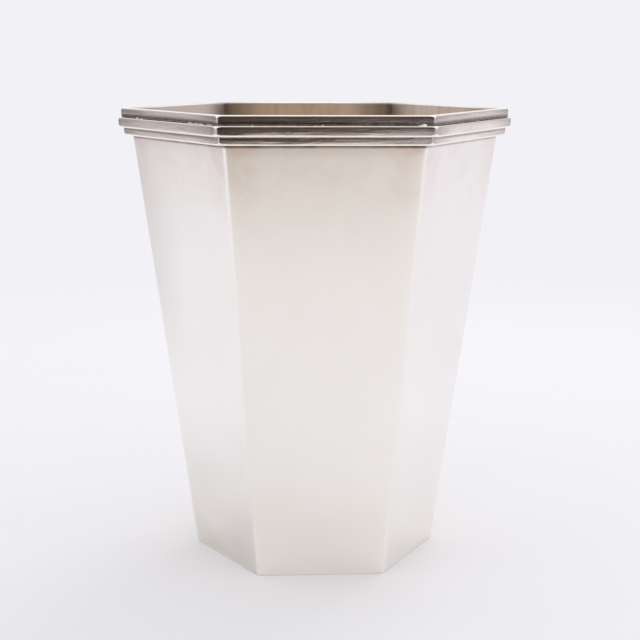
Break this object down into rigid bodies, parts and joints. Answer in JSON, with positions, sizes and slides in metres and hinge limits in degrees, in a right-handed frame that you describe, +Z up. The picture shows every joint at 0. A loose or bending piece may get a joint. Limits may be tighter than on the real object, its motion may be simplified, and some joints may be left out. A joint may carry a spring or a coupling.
{
  "type": "silver beaker",
  "caption": "Hexagonal tapered drinking beaker of silver sheet, with mitred wall panels on a flat base and a stepped rim of applied mouldings. Holds a drink, handleless.",
  "frame": {"origin": "centre of the base's flat underside, on the beaker's axis", "axes": "+Z up along the beaker's axis to the mouth; the front panel faces -Y, and +X runs from corner to corner to the right of the front panel"},
  "size_m": [0.0874, 0.076, 0.1],
  "materials": {
    "silver_wall": "satin-polished silver sheet with soft blurred reflections and a faint warm tarnish",
    "silver_rim": "bright polished silver strip with worn edges and tarnish in the joints",
    "silver_base": "silver sheet with rubbed scratches from standing and sliding"
  },
  "bodies": {
    "root": {"base_plate": "silver_base", "wall_front": "silver_wall", "wall_front_right": "silver_wall", "wall_back_right": "silver_wall", "wall_back": "silver_wall", "wall_back_left": "silver_wall", "wall_front_left": "silver_wall", "lower_band_front": "silver_rim", "lower_band_front_right": "silver_rim", "lower_band_back_right": "silver_rim", "lower_band_back": "silver_rim", "lower_band_back_left": "silver_rim", "lower_band_front_left": "silver_rim", "middle_band_front": "silver_rim", "middle_band_front_right": "silver_rim", "middle_band_back_right": "silver_rim", "middle_band_back": "silver_rim", "middle_band_back_left": "silver_rim", "middle_band_front_left": "silver_rim", "top_band_front": "silver_rim", "top_band_front_right": "silver_rim", "top_band_back_right": "silver_rim", "top_band_back": "silver_rim", "top_band_back_left": "silver_rim", "top_band_front_left": "silver_rim"}
  },
  "joints": []
}
